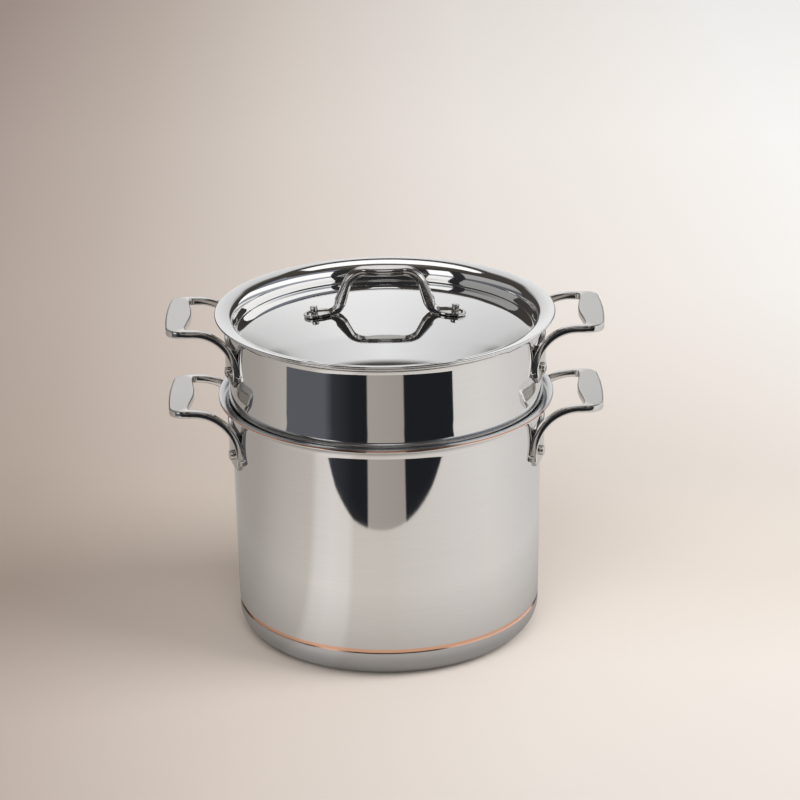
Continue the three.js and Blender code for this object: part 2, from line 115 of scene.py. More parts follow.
# Cast metal: soft waves in a bright surface, specks of grit in its tone and roughness, and a satin ground
# face where the attribute says so. Wave size, wave depth and grit in mm.
def castMetal(name, colour, pale, roughness, satin, speckle, waveSize, waveDepth, grit):
    material, tree = newMaterial(name)
    place = addNode(tree, "TexCoord").outputs["Object"]
    wave = addNode(tree, "TexNoise", {"Scale": 1 / (waveSize * mm), "Detail": 1.0}, {"Vector": place})
    speck = addNode(tree, "TexNoise", {"Scale": 1 / (grit * mm), "Detail": 2.0}, {"Vector": place})
    ground = addNode(tree, "Attribute", {"attribute_name": "ground"})
    rough = addNode(tree, "MapRange", {"To Min": roughness, "To Max": satin},
                    {"Value": ground.outputs["Fac"]})
    vary = addNode(tree, "Math", {"operation": "MULTIPLY_ADD", 1: speckle}, {0: speck, 2: rough})
    tone = addNode(tree, "Mix", {"data_type": "RGBA", "A": hexColour(colour), "B": hexColour(pale)},
                   {"Factor": speck})
    bump = addNode(tree, "Bump", {"Strength": 1.0, "Distance": waveDepth * mm}, {"Height": wave})
    shader = addNode(tree, "BsdfPrincipled", {"Metallic": 1.0},
                     {"Base Color": tone, "Roughness": vary, "Normal": bump})
    addNode(tree, "OutputMaterial", links={"Surface": shader})
    return material


# Polished stainless sheet: nearly a mirror, with turning lines that smear reflections up and down. The real
# lines are ten times finer on every turned metal here, and are drawn this coarse so that they show.
polishedSteel = turnedMetal("polished stainless steel", "#e6e6e5", "#dedede", 0.045, 0.015, 0.5, 0.0007, 40)
# satin stainless of the base and the inside: the same steel left off the last buffing, so reflections go soft
satinSteel = turnedMetal("satin stainless steel", "#d6d7d8", "#cccdce", 0.24, 0.03, 0.6, 0.0016, 60)
# bare turned copper: warm, dull, a few lathe lines
bareCopper = turnedMetal("bare turned copper", "#ffd0b6", "#fbc3a4", 0.17, 0.04, 0.4, 0.0012, 40)
# sheared copper in the lip's cut edge: redder and deeper than the turned band
shearedCopper = turnedMetal("sheared copper edge", "#e0915f", "#d07f50", 0.25, 0.05, 0.4, 0.0012, 40)
# investment cast stainless, tumbled and buffed: a wavy mirror, satin on the ground faces of the grips
castSteel = castMetal("cast stainless steel", "#d6d4d1", "#d9d7d4", 0.07, 0.34, 0.05, 9.0, 0.02, 0.8)
print("materials made")


# points of an arc, degrees from outwards towards up
def arcPoints(r, z, radius, start, end, steps):
    turn = np.radians(np.linspace(start, end, steps + 1))
    return np.column_stack([r + radius * np.cos(turn), z + radius * np.sin(turn)])


# a straight run with points crowded to both ends, so that smooth shading stays flat between them
def runPoints(start, end, steps):
    share = 0.5 - 0.5 * np.cos(np.linspace(0, np.pi, steps + 1))
    return np.asarray(start) + (np.asarray(end) - np.asarray(start)) * share[:, None]


# runs joined into one line without doubled points
def joinRuns(*runs):
    line = np.vstack(runs)
    step = np.linalg.norm(np.diff(line, axis=0), axis=1)
    return line[np.concatenate([[True], step > 1e-4])]


# the line beside another, left of it by a distance, along the mean of the two neighbouring normals
def besideLine(line, distance):
    run = np.diff(line, axis=0)
    run /= np.linalg.norm(run, axis=1)[:, None]
    before = np.vstack([run[:1], run])
    after = np.vstack([run, run[-1:]])
    mean = before + after
    mean /= np.linalg.norm(mean, axis=1)[:, None]
    reach = distance / np.einsum("ij,ij->i", mean, after)
    moved = line + np.column_stack([-mean[:, 1], mean[:, 0]]) * reach[:, None]
    moved[line[:, 0] < 1e-6, 0] = 0
    return moved


# a half circle that closes a sheet's cut edge, from one face's end point to the other's
def roundEdge(first, last, steps=8):
    centre = (first + last) / 2
    arm = first - centre
    side = np.array([arm[1], -arm[0]])
    turn = np.linspace(0, np.pi, steps + 1)[1:-1, None]
    return centre + arm * np.cos(turn) + side * np.sin(turn)


# quads of a grid of rows by columns; wrap joins the last column to the first, flip turns the faces over
def gridFaces(rows, columns, wrap=True, flip=False, first=0):
    across = columns if wrap else columns - 1
    row, column = np.meshgrid(np.arange(rows - 1), np.arange(across), indexing="ij")
    nextColumn = (column + 1) % columns
    quads = np.stack([row * columns + column, row * columns + nextColumn,
                      (row + 1) * columns + nextColumn, (row + 1) * columns + column], axis=-1)
    quads = quads.reshape(-1, 4) + first
    return quads[:, ::-1] if flip else quads


# a line of radius and height turned about Z: x = r cos t, y = r sin t
def lathe(line, columns):
    turn = np.arange(columns) * 2 * np.pi / columns
    ring = np.stack([np.cos(turn), np.sin(turn)], axis=-1)
    points = np.empty((len(line), columns, 3))
    points[..., :2] = line[:, None, :1] * ring
    points[..., 2] = line[:, None, 1]
    return points.reshape(-1, 3), gridFaces(len(line), columns)


# several point and face sets as one
def joinSets(sets):
    points, faces, start = [], [], 0
    for somePoints, someFaces in sets:
        points.append(somePoints)
        faces.append(someFaces + start)
        start += len(somePoints)
    return np.vstack(points), np.vstack(faces)


mergeWithin = 0.002 * mm
thinWithin = 0.001 * mm
castSharp = 40  # degrees, a casting's edges stay sharp over this


# mesh object at the origin from points in mm: doubles merged, poles closed, faces turned outwards
def makePiece(name, points, faces, material, body, nodes, sharpAngle=35, attribute=None):
    mesh = bpy.data.meshes.new(name)
    mesh.from_pydata((points * mm).tolist(), [], faces.tolist())
    if attribute is not None:
        layer = mesh.attributes.new("ground", "FLOAT", "POINT")
        layer.data.foreach_set("value", attribute.astype(np.float32))
    shape = bmesh.new()
    shape.from_mesh(mesh)
    bmesh.ops.remove_doubles(shape, verts=shape.verts, dist=mergeWithin)
    bmesh.ops.dissolve_degenerate(shape, edges=shape.edges, dist=thinWithin)
    bmesh.ops.recalc_face_normals(shape, faces=shape.faces)
    shape.to_mesh(mesh)
    shape.free()
    mesh.shade_smooth()
    mesh.set_sharp_from_angle(angle=math.radians(sharpAngle))
    mesh.materials.append(material)
    piece = bpy.data.objects.new(name, mesh)
    bpy.context.scene.collection.objects.link(piece)
    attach(piece, body)
    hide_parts(*nodes)
    return piece


# the clad pot, sizes on its outer face in mm
pot = {
    "mouthRadius": 112.0, "taper": 2.0, "corner": 18.0, "lipReach": 8.6, "height": 179.7,
    "skin": 0.9, "core": 0.7, "liner": 1.0, "bond": 0.04, "bandBottom": 20.6, "bandTop": 24.0,
    "columns": 192,
}
potSheet = pot["skin"] + pot["core"] + pot["liner"]
potLipStart = pot["height"] - potSheet - pot["lipReach"]
potLipRadius = pot["mouthRadius"] + pot["lipReach"]


# outer wall radius at a height: straight taper from the base corner to the lip
def potWall(z):
    share = (z - pot["corner"]) / (potLipStart - pot["corner"])
    return pot["mouthRadius"] - pot["taper"] * (1 - share)


# floor and base corner at a depth in the sheet: a straight run, then a quarter circle round one centre
def potBase(depth, steps):
    centre = potWall(pot["corner"]) - pot["corner"]
    return joinRuns(runPoints((0, depth), (centre, depth), steps),
                    arcPoints(centre, pot["corner"], pot["corner"] - depth, -90, 0, 2 * steps))


# the flared lip at a depth: a quarter circle about a centre outside the wall, so its radius grows inwards
def potLip(depth, steps):
    return arcPoints(potLipRadius, potLipStart, pot["lipReach"] + depth, 180, 90, 2 * steps)


# the wall at a depth between two heights: a straight run along the taper
def potRun(depth, low, high, steps):
    return runPoints((potWall(low) - depth, low), (potWall(high) - depth, high), steps)


coreOut = pot["skin"] + pot["bond"]
linerOut = pot["skin"] + pot["core"] + pot["bond"]
easeRadius = 0.35  # eased outer corners of the lip's cut edge
easeLift = 0.02  # the lower one stands off the lip's last point
easeGap = 0.05  # the upper one starts this far from the lip's last point


# the wall skin: outer wall and underside of the lip with an eased edge at the cut, back down inside, closed
def wallSkinLoop():
    lip = potLip(0, 14)[:-1]
    edge = arcPoints(potLipRadius - easeRadius, lip[-1, 1] + easeRadius + easeLift, easeRadius, -80, 0, 4)
    outer = joinRuns(potRun(0, pot["bandTop"], potLipStart, 30), lip[1:-1], edge)
    inner = joinRuns(potRun(pot["skin"], pot["bandTop"], potLipStart, 6), potLip(pot["skin"], 6))
    return np.vstack([outer, inner[::-1], outer[:1]])


# the base skin: floor, corner and wall up to the copper band, then back inside
def baseSkinLoop():
    outer = joinRuns(potBase(0, 10), potRun(0, pot["corner"], pot["bandBottom"], 4))
    inner = joinRuns(potBase(pot["skin"], 6), potRun(pot["skin"], pot["corner"], pot["bandBottom"], 2))
    return np.vstack([outer, inner[::-1]])


# the copper core: from the floor's middle to the lip's cut, then back along the liner
def coreLoop():
    outer = joinRuns(potBase(coreOut, 6), potRun(coreOut, pot["corner"], potLipStart, 12),
                     potLip(coreOut, 6))
    depth = pot["skin"] + pot["core"]
    inner = joinRuns(potBase(depth, 4), potRun(depth, pot["corner"], potLipStart, 4), potLip(depth, 6))
    return np.vstack([outer, inner[::-1]])


# the liner: its hidden face from the floor's middle to the lip, then an eased edge and the pot's inside back
def linerLoop():
    outer = joinRuns(potBase(linerOut, 4), potRun(linerOut, pot["corner"], potLipStart, 4),
                     potLip(linerOut, 6))
    lip = potLip(potSheet, 14)
    lip = lip[lip[:, 0] < potLipRadius - easeRadius - easeGap]
    edge = arcPoints(potLipRadius - easeRadius, pot["height"] - easeRadius, easeRadius, 90, 0, 4)
    inner = joinRuns(potBase(potSheet, 10), potRun(potSheet, pot["corner"], potLipStart, 24), lip, edge)
    return np.vstack([outer, inner[::-1]])


# each piece of the pot: its loop, its material, its slot and the node it stands for
potPieces = {
    "pot_wall": (wallSkinLoop, polishedSteel, "polished_steel", "pot_wall_skin"),
    "pot_base": (baseSkinLoop, satinSteel, "satin_steel", "pot_base_skin"),
    "pot_copper": (coreLoop, bareCopper, "copper", "pot_copper_core"),
    "pot_liner": (linerLoop, satinSteel, "satin_steel", "pot_inner_liner"),
}
for name, (loop, material, slotName, node) in potPieces.items():
    points, faces = lathe(loop(), pot["columns"])
    piece = makePiece(name, points, faces, material, "pot", [node])
    if material is bareCopper:  # its faces above the wall are the cut edge
        piece.data.materials.append(shearedCopper)
        middles = np.empty(3 * len(piece.data.polygons))
        piece.data.polygons.foreach_get("center", middles)
        inLip = middles[2::3] > potLipStart * mm
        piece.data.polygons.foreach_set("material_index", inLip.astype(np.int32))
print("pot turned")


# the strainer insert, sizes on its outer face in mm
insert = {
    "sheet": 1.0, "wallRadius": 112.4, "lipReach": 7.6, "height": 238.4, "bulge": 0.8, "bulgeStart": 195.0,
    "shoulder": 8.0, "shoulderTurn": 60.0, "seatGap": 0.3, "mouthRadius": 106.0, "taper": 1.6,
    "corner": 12.0, "floor": 30.0, "columns": 192,
    "hole": 5.4, "cellRises": 4, "wallColumns": 48, "wallRows": 9, "rowsBottom": 47.0, "rowsTop": 158.0,
    "floorRings": (48, 32, 32, 24, 16, 12), "floorCentre": 13.0,
}
insertLipRadius = insert["wallRadius"] + insert["lipReach"]
insertLipStart = insert["height"] - insert["sheet"] - insert["lipReach"]
shoulderCentre = insert["wallRadius"] + insert["bulge"] - insert["shoulder"]
seatReach = pot["lipReach"] + potSheet + insert["shoulder"] + insert["seatGap"]
shoulderHeight = potLipStart + math.sqrt(seatReach ** 2 - (potLipRadius - shoulderCentre) ** 2)
shoulderTurn = insert["shoulderTurn"]
shoulderEnd = arcPoints(shoulderCentre, shoulderHeight, insert["shoulder"], -shoulderTurn, 0, 1)[0]
throatBend = (shoulderEnd[0] - insert["mouthRadius"]) / (1 - math.cos(math.radians(shoulderTurn)))
basketTop = shoulderEnd[1] - throatBend * math.sin(math.radians(shoulderTurn))
basketCornerTop = insert["floor"] + insert["corner"]


# basket wall radius at a height, a straight taper
def basketWall(z):
    share = (z - basketCornerTop) / (basketTop - basketCornerTop)
    return insert["mouthRadius"] - insert["taper"] * (1 - share)


# One band of a perforated sheet: count cells side by side, each a ring of quads from its edge to a round
# hole. A cell's top and bottom are cut at the sheet's columns, so that bands of other counts meet it.
def perforatedBand(surface, count, low, high, width, shift):
    cuts = insert["columns"] // count
    rises = insert["cellRises"]
    top = np.linspace(0, 1, cuts + 1)[:-1]
    side = np.linspace(0, 1, rises + 1)[:-1]
    edgeS = np.concatenate([top, np.ones(rises), 1 - top, np.zeros(rises)])
    edgeT = np.concatenate([np.zeros(cuts), side, np.ones(cuts), 1 - side])
    height = high - low
    angle = np.arctan2((edgeT - 0.5) * abs(height), (edgeS - 0.5) * width)
    holeS = 0.5 + insert["hole"] / 2 * np.cos(angle) / width
    holeT = 0.5 + insert["hole"] / 2 * np.sin(angle) / abs(height)
    cell = np.arange(count)[:, None] + shift
    turn = (cell[:, None] + np.stack([edgeS, holeS])[None]) * 2 * np.pi / count
    along = np.broadcast_to(low + np.stack([edgeT, holeT])[None] * height, turn.shape)
    outside, inside = surface(turn, along)
    ring = len(angle)
    points = np.stack([outside, inside], axis=1)  # cell, face, edge or hole, ring, xyz
    start = (np.arange(count) * 4 * ring)[:, None]
    here = np.arange(ring)
    there = (here + 1) % ring
    outerQuads = np.stack([here, there, there + ring, here + ring], axis=-1)
    innerQuads = outerQuads[:, ::-1] + 2 * ring
    rimQuads = np.stack([here + ring, there + ring, there + 3 * ring, here + 3 * ring], axis=-1)
    quads = np.vstack([outerQuads, innerQuads, rimQuads])
    return points.reshape(-1, 3), (quads[None] + start[..., None]).reshape(-1, 4)


# points on the basket wall's outer and inner face for a turn and a height
def wallSurface(turn, height):
    outer = basketWall(height)
    radii = (outer, outer - insert["sheet"])
    around = np.stack([np.cos(turn), np.sin(turn)], axis=-1)
    return tuple(np.concatenate([around * r[..., None], height[..., None]], axis=-1) for r in radii)


# points on the basket floor's lower and upper face for a turn and a radius
def floorSurface(turn, radius):
    around = np.stack([np.cos(turn), np.sin(turn)], axis=-1) * radius[..., None]
    heights = (insert["floor"], insert["floor"] + insert["sheet"])
    return tuple(np.concatenate([around, np.full(radius.shape + (1,), z)], axis=-1) for z in heights)


# the insert's sheet in bands that share their edge points, from the lip down to the middle of the floor
def insertSets():
    sets = []
    columns = insert["columns"]
    sheet = insert["sheet"]
    rowsTop, rowsBottom = insert["rowsTop"], insert["rowsBottom"]
    # plain top: throat, shoulder, wall and lip, then back down inside
    outer = joinRuns(
        runPoints((basketWall(rowsTop), rowsTop), (insert["mouthRadius"], basketTop), 4),
        arcPoints(insert["mouthRadius"] + throatBend, basketTop, throatBend, 180, 180 - shoulderTurn, 12),
        arcPoints(shoulderCentre, shoulderHeight, insert["shoulder"], -shoulderTurn, 0, 24),
        swellRun(),
        runPoints((insert["wallRadius"], insert["bulgeStart"]), (insert["wallRadius"], insertLipStart), 20),
        arcPoints(insertLipRadius, insertLipStart, insert["lipReach"], 180, 92, 24))
    inner = besideLine(outer, sheet)
    inner[0] = (basketWall(rowsTop) - sheet, rowsTop)
    sets.append(lathe(np.vstack([outer, roundEdge(inner[-1], outer[-1])[::-1], inner[::-1]]), columns))
    # perforated wall, each second row half a cell on
    edges = np.linspace(rowsBottom, rowsTop, insert["wallRows"] + 1)
    count = insert["wallColumns"]
    width = 2 * np.pi * insert["mouthRadius"] / count
    for row in range(insert["wallRows"]):
        sets.append(perforatedBand(wallSurface, count, edges[row], edges[row + 1], width, row % 2 / 2))
    # plain corner
    centre = basketWall(basketCornerTop) - insert["corner"]
    corner = arcPoints(centre, basketCornerTop, insert["corner"], -90, 0, 12)
    corner = joinRuns(corner, runPoints(corner[-1], (basketWall(rowsBottom), rowsBottom), 3))
    inside = besideLine(corner, sheet)
    inside[0] = (centre, insert["floor"] + sheet)
    inside[-1] = (basketWall(rowsBottom) - sheet, rowsBottom)
    sets += [lathe(corner, columns), lathe(inside, columns)]
    # perforated floor, ring by ring towards the middle, then a plain disc
    rings = np.linspace(centre, insert["floorCentre"], len(insert["floorRings"]) + 1)
    for ring, count in enumerate(insert["floorRings"]):
        middle = (rings[ring] + rings[ring + 1]) / 2
        width = 2 * np.pi * middle / count
        sets.append(perforatedBand(floorSurface, count, rings[ring], rings[ring + 1], width, 0.0))
    for z in (insert["floor"], insert["floor"] + sheet):
        sets.append(lathe(runPoints((0, z), (insert["floorCentre"], z), 6), columns))
    return sets


# the wall swells towards the shoulder: a smooth step of radius over the height
def swellRun():
    share = np.linspace(0, 1, 17)
    z = shoulderHeight + (insert["bulgeStart"] - shoulderHeight) * share
    ease = 1 - share ** 2 * (3 - 2 * share)
    return np.column_stack([insert["wallRadius"] + insert["bulge"] * ease, z])


points, faces = joinSets(insertSets())
makePiece("strainer_insert_sheet", points, faces, polishedSteel, "insert",
          ["strainer_insert"])
print("strainer insert pressed and perforated:", len(faces), "quads")


# the lid, sizes on its upper face in mm; each run is a length and the tilt at its ends, from the edge inwards
lid = {
    "sheet": 1.4, "lipReach": 1.7, "edge": 0.7, "seatGap": 0.3, "lipRise": 0.35, "footBend": 1.2,
    "runs": ((9.6, 9.0, 20.0), (3.6, 20.0, 62.0), (4.2, 62.0, 78.0), (3.0, 78.0, 85.0)),
    "domeDrop": 1.1, "domeRadius": 450.0, "domeShort": 2.0, "columns": 224,
}
lidTop = insert["height"] + lid["seatGap"] + lid["sheet"]
lidLip = insertLipRadius + lid["lipReach"]
domeRadius = lid["domeRadius"]
domeTop = lidTop - lid["domeDrop"]


# height of the dome at a radius, a flat paraboloid
def dome(r):
    return domeTop - r ** 2 / (2 * domeRadius)


# a rounded corner: the quadratic curve between two points a set reach before and after it
def roundCorner(before, corner, after, reach, steps):
    share = np.linspace(0, 1, steps + 1)[:, None]
    start = corner + (before - corner) * reach / np.linalg.norm(before - corner)
    end = corner + (after - corner) * reach / np.linalg.norm(after - corner)
    return start * (1 - share) ** 2 + corner * 2 * share * (1 - share) + end * share ** 2


# The lid's upper line: from the edge inwards, radius and height are running sums of the tilt's cosine and
# sine. The wall then runs on to the dome, with a small bend at its foot. The lower line lies a sheet below.
def lidLoop():
    steps = 12
    share = (np.arange(steps) + 0.5) / steps
    tilt = np.radians(np.concatenate([a + (b - a) * share for length, a, b in lid["runs"]]))
    pace = np.concatenate([np.full(steps, length / steps) for length, a, b in lid["runs"]])
    outside = lidLip - lid["edge"]
    rim = lidTop + lid["lipRise"]
    fall = np.column_stack([outside - np.cumsum(np.cos(tilt) * pace), rim - np.cumsum(np.sin(tilt) * pace)])
    side = np.vstack([(outside, rim), fall])[::-1]
    foot = side[0, 0] - (side[0, 1] - dome(side[0, 0])) / math.tan(tilt[-1])
    r = (foot - lid["domeShort"]) * np.sin(np.linspace(0, np.pi / 2, 64))
    domeLine = np.column_stack([r, dome(r)])
    corner = np.array([foot, dome(foot)])
    bend = roundCorner(domeLine[-1], corner, side[0], lid["footBend"], 12)
    upper = joinRuns(domeLine, bend, side)
    lower = besideLine(upper, -lid["sheet"])
    return np.vstack([upper, roundEdge(upper[-1], lower[-1]), lower[::-1]])


points, faces = lathe(lidLoop(), lid["columns"])
makePiece("lid_sheet", points, faces, polishedSteel, "lid", ["lid"])
print("lid pressed")


# the cast side handles in mm, from the grip's top face and the pot's axis
handle = {
    "gripReach": 156.4, "gripBow": 1.4, "gripLength": 79.0, "gripWidth": 18.0, "gripEndInner": 141.2,
    "gripThickness": 5.4, "gripCorner": 11.0, "windowCorner": 2.6,
    "armWidth": 5.2, "armThickness": 5.2, "armSplay": 6.5, "armFromTurn": 186.0,
    "footThickness": 2.4, "footAbove": 18.0, "footBelow": 9.5, "footCorner": 0.5, "footSlant": 7.0,
    "edge": 1.2, "armEdge": 2.0, "footEdge": 0.8, "seatGap": 0.3,
    "backGap": 0.03, "groundFrom": 0.43, "groundTo": 0.86, "groundFace": 0.75,
}
vessels = {
    "pot": {"wall": potWall, "thickness": potSheet, "gripTop": 178.8, "rivetHeight": 142.8},
    "insert": {"wall": lambda z: insert["wallRadius"] + 0 * z, "thickness": insert["sheet"],
               "gripTop": 238.9, "rivetHeight": 206.1},
}
footHalf = handle["gripLength"] / 2 + handle["armSplay"]


# points spread evenly by length along a line of x, y, z
def evenPoints(line, count):
    step = np.linalg.norm(np.diff(line, axis=0), axis=1)
    length = np.concatenate([[0], np.cumsum(step)])
    at = np.linspace(0, length[-1], count)
    return np.column_stack([np.interp(at, length, line[:, k]) for k in range(line.shape[1])])


# smooth step from 0 to 1 between two values
def smoothStep(value, low, high):
    share = np.clip((value - low) / (high - low), 0, 1)
    return share * share * (3 - 2 * share)


# The loop of a handle: a rounded rectangle carried from one foot up the arm, round the corner, along the grip
# and back. Its edges are the loop's outlines: across runs between them, up is square to the path.
def handleLoop(vessel):
    top = vessel["gripTop"]
    half = handle["gripLength"] / 2
    centreZ = top - handle["gripThickness"] / 2
    armTop = centreZ + handle["armThickness"] / 2
    bend = armTop - vessel["rivetHeight"]
    reach = math.sqrt(vessel["wall"](vessel["rivetHeight"]) ** 2 - footHalf ** 2)
    middle = bend - handle["armThickness"] / 2
    turn = np.radians(np.linspace(handle["armFromTurn"], 90, 40))
    armX = reach + bend + middle * np.cos(turn)
    armZ = armTop - bend + middle * np.sin(turn)
    splay = handle["armSplay"] * np.clip((centreZ - armZ) / bend, 0, 1.05)
    straightEnd = handle["gripEndInner"] - handle["windowCorner"]
    runX = np.linspace(armX[-1], straightEnd, 10)[1:]
    pathX = np.concatenate([armX, runX])
    pathZ = np.concatenate([armZ, np.full(9, centreZ)])
    leanOut = np.concatenate([splay, np.zeros(9)])
    tilt = np.concatenate([turn, np.full(9, np.pi / 2)])
    outerArm = np.column_stack([pathX, -half - leanOut])
    innerArm = np.column_stack([pathX, -half + handle["armWidth"] - leanOut])
    # outlines of the grip's front half, corner to middle, matched point by point
    edgeX = handle["gripReach"] - handle["gripBow"]
    corner = handle["gripCorner"]
    cornerTurn = np.linspace(-np.pi / 2, 0, 14)
    gripRound = np.column_stack([edgeX - corner + corner * np.cos(cornerTurn),
                                 -half + corner + corner * np.sin(cornerTurn)])
    bowY = np.linspace(-half + corner, 0, 20)[1:]
    bow = np.column_stack([edgeX + handle["gripBow"] * (1 - (bowY / (half - corner)) ** 2), bowY])
    lead = np.column_stack([np.linspace(straightEnd, edgeX - corner, 6)[1:], np.full(5, -half)])
    outerGrip = evenPoints(np.vstack([outerArm[-1:], lead, gripRound[1:], bow]), 48)[1:]
    window = handle["windowCorner"]
    tight = np.linspace(0, np.pi / 2, 8)
    inside = -half + handle["armWidth"]
    windowRound = np.column_stack([straightEnd + window * np.sin(tight),
                                   inside + window * (1 - np.cos(tight))])
    swellY = np.linspace(windowRound[-1, 1], 0, 24)[1:]
    swell = 0.5 - 0.5 * np.cos(np.pi * (1 - swellY / swellY[0]))
    innerMiddle = handle["gripReach"] - handle["gripWidth"]
    innerEnd = handle["gripEndInner"]
    innerBow = np.column_stack([innerEnd + (innerMiddle - innerEnd) * swell, swellY])
    innerGrip = evenPoints(np.vstack([innerArm[-1:], windowRound[1:], innerBow]), 48)[1:]
    outer = np.vstack([outerArm, outerGrip])
    inner = np.vstack([innerArm, innerGrip])
    count = len(outer)
    z = np.concatenate([pathZ, np.full(count - len(pathZ), centreZ)])
    tilt = np.concatenate([tilt, np.full(count - len(tilt), np.pi / 2)])
    thick = smoothStep(np.arange(count), len(pathX) - 8, len(pathX) + 16)  # over 24 points into the grip
    thickness = handle["armThickness"] + (handle["gripThickness"] - handle["armThickness"]) * thick
    # the other half is the mirror image in y
    flip = np.array([1, -1])
    outer = np.vstack([outer, outer[-2::-1] * flip])
    inner = np.vstack([inner, inner[-2::-1] * flip])
    z, tilt, thickness, thick = (np.concatenate([a, a[-2::-1]]) for a in (z, tilt, thickness, thick))
    centre = np.column_stack([(outer + inner) / 2, z])
    across = np.column_stack([(outer - inner) / 2, np.zeros(len(z))])
    up = np.column_stack([np.cos(tilt), np.zeros(len(z)), np.sin(tilt)])
    edge = np.interp(thickness, [handle["armThickness"], handle["gripThickness"]],
                     [handle["armEdge"], handle["edge"]])
    points, facing = carriedSection(centre, across, up, thickness / 2, edge, np.array([0.86, 0.0, -0.86]))
    rows = len(z)
    columns = len(points) // rows
    inGrip = smoothStep(thick, handle["groundFrom"], handle["groundTo"])
    ground = (facing > handle["groundFace"]) * np.repeat(inGrip, columns)
    return cappedSweep(points, rows), np.concatenate([ground, np.zeros(2 * (columns + 1))])


# a closed end: one point in the middle of a ring, with quads that fold to triangles
def capFan(points, start, columns):
    ring = points[start:start + columns]
    middle = ring.mean(axis=0, keepdims=True)
    here = np.arange(columns)
    there = (here + 1) % columns
    centre = np.full(columns, columns)
    return np.vstack([ring, middle]), np.column_stack([here, there, centre, centre])


# a carried section as one closed set: the grid of its rows, and a fan at each end
def cappedSweep(points, rows):
    columns = len(points) // rows
    ends = [capFan(points, start, columns) for start in (0, len(points) - columns)]
    return joinSets([(points, gridFaces(rows, columns))] + ends)


widestEdge = 0.48  # an edge's radius as a share of the half width, at most


# Rounded rectangle carried along a path: corner offset plus a small circle, centre + across * s + up * t.
# Flats get extra points at shares of their half width, so that smooth shading leaves them flat.
def carriedSection(centre, across, up, halfThick, edge, inset):
    steps = 7
    quarter = np.linspace(0, np.pi / 2, steps)
    turn = np.concatenate([quarter + k * np.pi / 2 for k in range(4)])
    signS = np.repeat([1, -1, -1, 1], steps)
    signT = np.repeat([1, 1, -1, -1], steps)
    halfWide = np.linalg.norm(across, axis=1)
    edge = np.minimum(edge, halfWide * widestEdge)[:, None]
    s = signS * (halfWide[:, None] - edge) + edge * np.cos(turn)
    t = signT * (halfThick[:, None] - edge) + edge * np.sin(turn)
    pieces = []
    for k in range(4):
        block = slice(steps * k, steps * k + steps)
        pieces.append(np.stack([s[:, block], t[:, block]], axis=-1))
        if k % 2 == 0:  # flats on the top and the bottom
            flatS = (inset if k == 0 else -inset) * (halfWide[:, None] - edge)
            flatT = np.broadcast_to((1 if k == 0 else -1) * halfThick[:, None], flatS.shape)
            pieces.append(np.stack([flatS, flatT], axis=-1))
    section = np.concatenate(pieces, axis=1)
    unit = across / halfWide[:, None]
    points = centre[:, None] + unit[:, None] * section[..., :1] + up[:, None] * section[..., 1:]
    facing = section[..., 1] / halfThick[:, None]
    return points.reshape(-1, 3), facing.reshape(-1)


# The foot of a handle: a slab that hugs the wall inside a shield outline, its face eased down at the edges.
# A point is s across the outline and t up it; its radius is the wall's plus the slab's thickness.
def handleFoot(vessel):
    low = vessel["rivetHeight"] - handle["footBelow"]
    high = vessel["rivetHeight"] + handle["footAbove"]
    corner = vessel["rivetHeight"] - handle["footCorner"]
    s = np.sin(np.linspace(-np.pi / 2, np.pi / 2, 61))
    t = 0.5 + 0.5 * np.sin(np.linspace(-np.pi / 2, np.pi / 2, 31))
    s, t = np.meshgrid(s, t)
    z = low + (high - low) * t
    topHalf = handle["gripLength"] / 2 - handle["armWidth"] / 2
    wide = np.interp(z, [low, corner, high], [footHalf - handle["footSlant"], footHalf, topHalf])
    y = s * wide
    edge = handle["footEdge"]
    inside = np.minimum(np.minimum(wide - np.abs(y), z - low), high - z)
    ease = np.clip(1 - inside / edge, 0, 1)
    lift = handle["footThickness"] - edge * (1 - np.sqrt(1 - ease ** 2))
    wall = vessel["wall"](z)
    sides = []
    for r in (wall + handle["seatGap"] + lift, wall + handle["backGap"]):
        sides.append(np.stack([np.sqrt(r ** 2 - y ** 2), y, z], axis=-1))
    rows, columns = z.shape
    front, back = (side.reshape(-1, 3) for side in sides)
    rim = np.concatenate([np.arange(columns), np.arange(1, rows) * columns + columns - 1,
                          (rows - 1) * columns + np.arange(columns - 2, -1, -1),
                          np.arange(rows - 2, 0, -1) * columns])
    nextRim = np.roll(rim, -1)
    count = rows * columns
    skirt = np.column_stack([rim, nextRim, nextRim + count, rim + count])
    faces = np.vstack([gridFaces(rows, columns, wrap=False),
                       gridFaces(rows, columns, wrap=False, flip=True, first=count), skirt])
    return np.vstack([front, back]), faces


# the rivets in mm: inner head, shank, proud outer head with an eased rim
rivet = {
    "spread": 31.0, "shank": 2.4, "head": 3.6, "headHeight": 2.9, "headGap": 0.02,
    "ease": 0.6, "crown": 0.12, "innerHead": 4.0, "innerHeight": 1.5, "innerGap": 0.1, "columns": 40,
}


# a rivet turned about its own axis: distance from the axis and place along it; grip is the clamped thickness
def rivetSet(grip, head, headHeight):
    ease = rivet["ease"]
    turn = np.linspace(0, np.pi / 2, 10)
    line = joinRuns(
        np.column_stack([rivet["innerHead"] * np.sin(turn), -rivet["innerHeight"] * np.cos(turn)]),
        np.array([(rivet["shank"], 0.0), (rivet["shank"], grip), (head, grip)]),
        arcPoints(head - ease, grip + headHeight - ease, ease, 0, 90, 6),
        np.linspace((head - ease, grip + headHeight), (0, grip + headHeight + rivet["crown"]), 5))
    return lathe(line, rivet["columns"])


# points carried by a turn matrix and a shift
def placed(points, turn, shift):
    return points @ np.asarray(turn).T + np.asarray(shift)


# turn that takes +Z to a direction in the plane of X and Y
def radialTurn(angle):
    c, s = math.cos(angle), math.sin(angle)
    return np.array([[0, -s, c], [0, c, s], [-1, 0, 0]])


